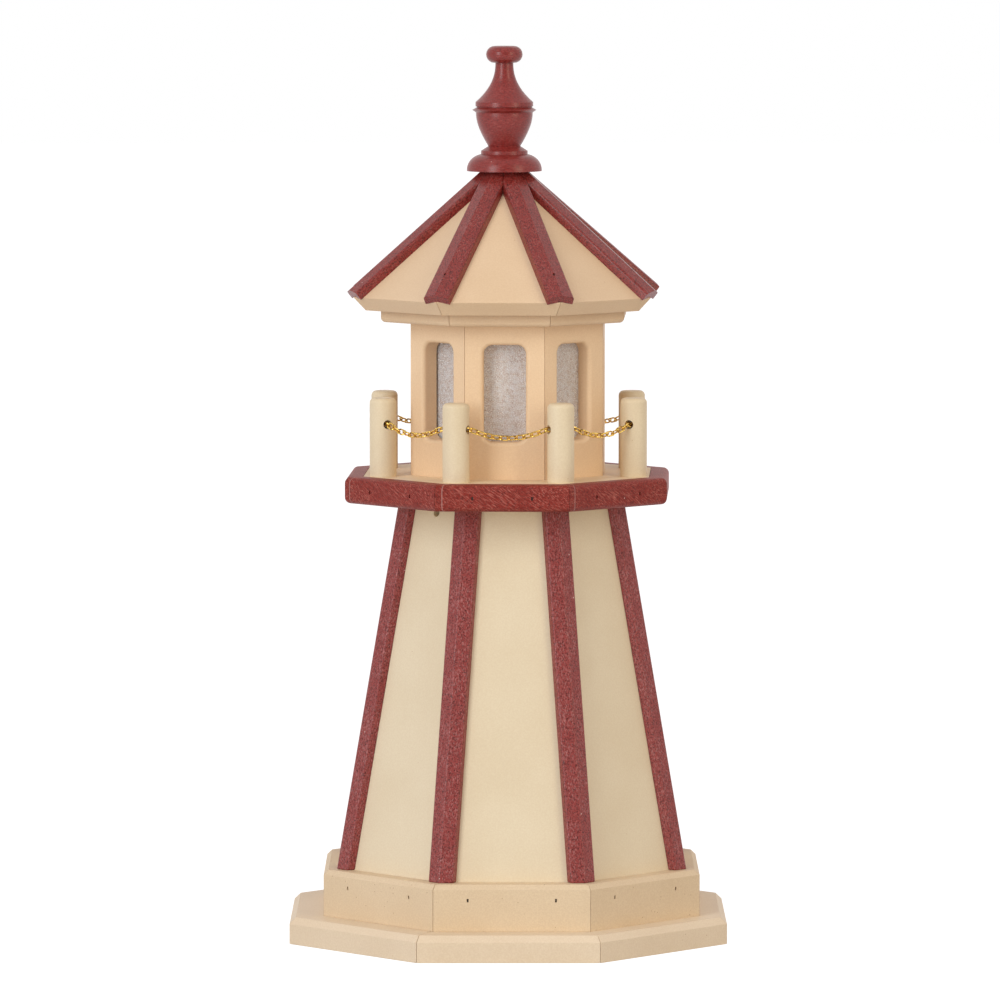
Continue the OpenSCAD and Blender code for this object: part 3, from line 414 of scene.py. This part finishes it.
def easeEdges(nodeName, width):
    bpy.ops.object.select_all(action="DESELECT")
    source = cadNodes[nodeName]
    board = bpy.data.objects.new(f"{nodeName}_eased", source.data.copy())
    bpy.context.scene.collection.objects.link(board)
    board.select_set(True)
    bpy.context.view_layer.objects.active = board
    bpy.ops.object.mode_set(mode="EDIT")
    bpy.ops.mesh.select_mode(type="EDGE")
    bpy.ops.mesh.select_all(action="SELECT")
    bpy.ops.mesh.remove_doubles(threshold=easing["weld"] * mm)
    bpy.ops.mesh.dissolve_limited(angle_limit=math.radians(easing["flatWithin"]))
    bpy.ops.mesh.select_all(action="DESELECT")
    bpy.ops.mesh.edges_select_sharp(sharpness=math.radians(easing["sharp"]))
    bpy.ops.object.mode_set(mode="OBJECT")
    mesh = board.data
    for edge in mesh.edges:
        ends = [mesh.vertices[v].co for v in edge.vertices]
        if (ends[0] - ends[1]).length < easing["shortest"] * mm:
            edge.select = False
    bpy.ops.object.mode_set(mode="EDIT")
    bpy.ops.mesh.bevel(offset=width * mm, segments=easing["segments"], clamp_overlap=True)
    bpy.ops.object.mode_set(mode="OBJECT")
    bpy.ops.object.shade_smooth_by_angle(angle=math.radians(easing["smoothWithin"]))
    flatFaces = board.modifiers.new("flat faces", "WEIGHTED_NORMAL")  # only the eased edges look round
    flatFaces.keep_sharp = True
    bpy.ops.object.modifier_apply(modifier="flat faces")
    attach(board, bodyOf(nodeName))
    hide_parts(nodeName)


for nodeName, width in easing["width"].items():
    easeEdges(nodeName, width)
for nodeName in numbered("lantern_wall"):
    easeEdges(nodeName, easing["wallWidth"])
for nodeName in numbered("roof_panel"):
    easeEdges(nodeName, easing["roofWidth"])
print("edges eased:", len(easing["width"]) + 2 * sideCount, "pieces")

# Clear styrene panes cast on a hammered plate: one face crinkled all over, the other flat
panes = {
    "width": 41, "height": 80, "thickness": 2.5, "outerFace": 55.8, "centreZ": 393,  # mm, from the axis
    "turn": -2.2, "offset": 2.4,  # as the lantern house was fastened
    "cell": 1.7, "relief": 0.4, "steps": (112, 218),  # the crinkles' size and depth, and the grid's steps
    # the line colour is the net's painted shade
    "clear": "#FFFFFF", "cloudy": "#FBF4EF", "line": "#C9B1A3",
    "rough": 0.15, "through": 0.3, "ior": 1.56, "smoothWithin": 50,
    "netSize": 1.3, "netDepth": 0.5, "netStrength": 0.8,  # a net of fine lines over the crinkles, its brownish colour painted shade for the darker inside that shows through their edges
}


def makeHammeredStyrene():
    material, tree, place = startMaterial("hammered styrene sheet")
    cloud = addNode(tree, "ShaderNodeTexNoise", None, {
        "Vector": place, "Scale": perSize(panes["netSize"] * 2), "Detail": 2.0}).outputs["Fac"]
    net = addNode(tree, "ShaderNodeTexVoronoi", {"feature": "DISTANCE_TO_EDGE"}, {
        "Vector": place, "Scale": perSize(panes["netSize"])}).outputs["Distance"]
    colour = addNode(tree, "ShaderNodeMix", colourMix, {
        0: addNode(tree, "ShaderNodeMapRange", softStep, {
            "Value": cloud, "From Min": 0.3, "From Max": 0.7}).outputs[0],
        6: linear(panes["cloudy"]), 7: linear(panes["clear"])}).outputs[2]
    line = addNode(tree, "ShaderNodeMath", {"operation": "MULTIPLY"}, {  # painted shade, deeper where the sheet is cloudier
        0: addNode(tree, "ShaderNodeMapRange", softStep, {
            "Value": net, "From Min": 0.15, "From Max": 0.0}).outputs[0],
        1: addNode(tree, "ShaderNodeMapRange", softStep, {
            "Value": cloud, "From Min": 0.62, "From Max": 0.35, "To Min": 0.6}).outputs[0]}).outputs[0]
    colour = addNode(tree, "ShaderNodeMix", colourMix, {
        0: line, 6: colour, 7: linear(panes["line"])}).outputs[2]
    height = addNode(tree, "ShaderNodeMath", {"operation": "MULTIPLY_ADD"}, {0: net, 1: 2.0, 2: cloud})
    bump = addNode(tree, "ShaderNodeBump", None, {
        "Height": height.outputs[0], "Strength": panes["netStrength"], "Distance": panes["netDepth"] * mm})
    finishMaterial(tree, addNode(tree, "ShaderNodeBsdfPrincipled", None, {
        "Base Color": colour, "Roughness": panes["rough"], "IOR": panes["ior"],
        "Transmission Weight": panes["through"], "Normal": bump.outputs["Normal"]}))
    return material


def makePanes():
    bpy.ops.object.select_all(action="DESELECT")
    acrossSteps, upSteps = panes["steps"]
    bpy.ops.mesh.primitive_grid_add(x_subdivisions=acrossSteps, y_subdivisions=upSteps, size=1)
    pane = bpy.context.object
    pane.scale = (panes["width"] * mm, panes["height"] * mm, 1)
    bpy.ops.object.transform_apply(scale=True)
    crinkle = bpy.data.textures.new("hammered plate", "VORONOI")
    crinkle.noise_scale = panes["cell"] * mm
    hammer = pane.modifiers.new("hammered", "DISPLACE")
    hammer.texture = crinkle
    hammer.mid_level = 1.0
    hammer.strength = panes["relief"] * mm
    bpy.ops.object.modifier_apply(modifier="hammered")
    bpy.ops.object.mode_set(mode="EDIT")
    bpy.ops.mesh.select_mode(type="EDGE")
    bpy.ops.mesh.select_all(action="SELECT")
    bpy.ops.mesh.region_to_loop()
    bpy.ops.mesh.extrude_region_move(TRANSFORM_OT_translate={"value": (0, 0, -panes["thickness"] * mm)})
    bpy.ops.transform.resize(value=(1, 1, 0))
    bpy.ops.mesh.edge_face_add()
    bpy.ops.mesh.select_all(action="SELECT")
    bpy.ops.mesh.normals_make_consistent(inside=False)
    bpy.ops.object.mode_set(mode="OBJECT")
    bpy.ops.object.shade_smooth_by_angle(angle=math.radians(panes["smoothWithin"]))
    low = min(v.co.z for v in pane.data.vertices)
    high = max(v.co.z for v in pane.data.vertices)
    # Stand it up facing the front with its highest crinkle on the wall's inner face
    squeeze = panes["thickness"] * mm / (high - low)
    pane.data.transform(Matrix.Translation((0, -panes["outerFace"] * mm, panes["centreZ"] * mm))
                        @ Matrix.Rotation(math.radians(90), 4, "X")
                        @ Matrix.Diagonal((1, 1, squeeze, 1)) @ Matrix.Translation((0, 0, -high)))
    pane.data.materials.append(makeHammeredStyrene())
    for k in range(sideCount):
        piece = pane if k == 0 else pane.copy()
        if k > 0:
            piece.data = pane.data.copy()
            bpy.context.scene.collection.objects.link(piece)
        piece.name = f"hammered_pane_{k + 1}"
    for k in range(sideCount):
        piece = bpy.data.objects[f"hammered_pane_{k + 1}"]
        turn = k * sideTurn + math.radians(panes["turn"])
        piece.data.transform(Matrix.Translation((panes["offset"] * mm, 0, 0)) @ Matrix.Rotation(turn, 4, "Z"))
        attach(piece, bodyOf("glazing_panes"))
        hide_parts("glazing_panes")
    print("panes made:", sideCount, "of", len(pane.data.polygons), "faces")


makePanes()

studio = {
    "floorSize": 30, "floorSides": 64, "floorColour": "#C8C8C8", "floorSeen": "#A8A8A8", "glow": 0.86,
    "ambient": 0.6, "ambientColour": "#FFF7FC",
    "room": 0.3, "roomFrom": -0.3, "roomFull": -0.9,  # the dim room at the front, by the ray's Y
    "left": {"place": (-1.53, -2.03, 1.2), "size": (0.9, 2.2), "power": 34, "colour": "#F8FDFF"},
    "right": {"place": (1.83, -1.76, 1.2), "size": (0.9, 2.2), "power": 17, "colour": "#FFF6D8"},
    "aim": (0, 0, 0.34),
}


def addSoftbox(name, look):
    data = bpy.data.lights.new(name, "AREA")
    data.shape = "RECTANGLE"
    data.size, data.size_y = look["size"]
    data.energy = look["power"]
    data.color = linear(look["colour"])[:3]
    lamp = bpy.data.objects.new(name, data)
    bpy.context.scene.collection.objects.link(lamp)
    lamp.location = look["place"]
    towards = Vector(studio["aim"]) - Vector(look["place"])
    lamp.rotation_euler = towards.to_track_quat("-Z", "Y").to_euler()


def seenOrMirrored(tree):  # 1 for rays from the camera, a mirror or glass, 0 for light on the object
    path = addNode(tree, "ShaderNodeLightPath")
    either = addNode(tree, "ShaderNodeMath", {"operation": "MAXIMUM"}, {
        0: path.outputs["Is Camera Ray"], 1: path.outputs["Is Glossy Ray"]}).outputs[0]
    return addNode(tree, "ShaderNodeMath", {"operation": "MAXIMUM"}, {
        0: either, 1: path.outputs["Is Transmission Ray"]}).outputs[0]


def addSky():
    world = bpy.data.worlds.new("white studio")
    bpy.context.scene.world = world
    world.use_nodes = True
    tree = world.node_tree
    tree.nodes.clear()
    ambient = addNode(tree, "ShaderNodeBackground", None, {
        "Color": linear(studio["ambientColour"]), "Strength": studio["ambient"]})
    # A mirror sees white at the sides and back, and at the front the dim room
    compass = addNode(tree, "ShaderNodeSeparateXYZ", None, {
        "Vector": addNode(tree, "ShaderNodeTexCoord").outputs["Generated"]})
    mirrored = addNode(tree, "ShaderNodeMapRange", softStep, {
        "Value": compass.outputs["Y"], "From Min": studio["roomFull"], "From Max": studio["roomFrom"],
        "To Min": studio["room"]}).outputs[0]
    path = addNode(tree, "ShaderNodeLightPath")
    straight = addNode(tree, "ShaderNodeMath", {"operation": "MAXIMUM"}, {
        0: path.outputs["Is Camera Ray"], 1: path.outputs["Is Transmission Ray"]}).outputs[0]
    brightness = addNode(tree, "ShaderNodeMath", {"operation": "MAXIMUM"}, {0: straight, 1: mirrored})
    white = addNode(tree, "ShaderNodeBackground", None, {
        "Color": (1, 1, 1, 1), "Strength": brightness.outputs[0]})
    mix = addNode(tree, "ShaderNodeMixShader", None, {
        0: seenOrMirrored(tree), 1: ambient.outputs[0], 2: white.outputs[0]})
    output = addNode(tree, "ShaderNodeOutputWorld")
    tree.links.new(mix.outputs[0], output.inputs["Surface"])


def addFloor():
    bpy.ops.object.select_all(action="DESELECT")
    bpy.ops.mesh.primitive_circle_add(
        vertices=studio["floorSides"], radius=studio["floorSize"] / 2, fill_type="NGON")
    floor = bpy.context.object
    floor.name = "studio floor"
    material, tree, _ = startMaterial("white studio paper")
    bounced = addNode(tree, "ShaderNodeBsdfDiffuse", None, {"Color": linear(studio["floorColour"])})
    seen = addNode(tree, "ShaderNodeBsdfDiffuse", None, {"Color": linear(studio["floorSeen"])})
    glow = addNode(tree, "ShaderNodeEmission", None, {"Color": (1, 1, 1, 1), "Strength": studio["glow"]})
    lit = addNode(tree, "ShaderNodeAddShader", None, {0: seen.outputs[0], 1: glow.outputs[0]})
    finishMaterial(tree, addNode(tree, "ShaderNodeMixShader", None, {
        0: seenOrMirrored(tree), 1: bounced.outputs[0], 2: lit.outputs[0]}))
    floor.data.materials.append(material)


addSky()
addFloor()
addSoftbox("left softbox", studio["left"])
addSoftbox("right softbox", studio["right"])
bpy.context.scene.view_settings.view_transform = "Standard"
print("studio set")
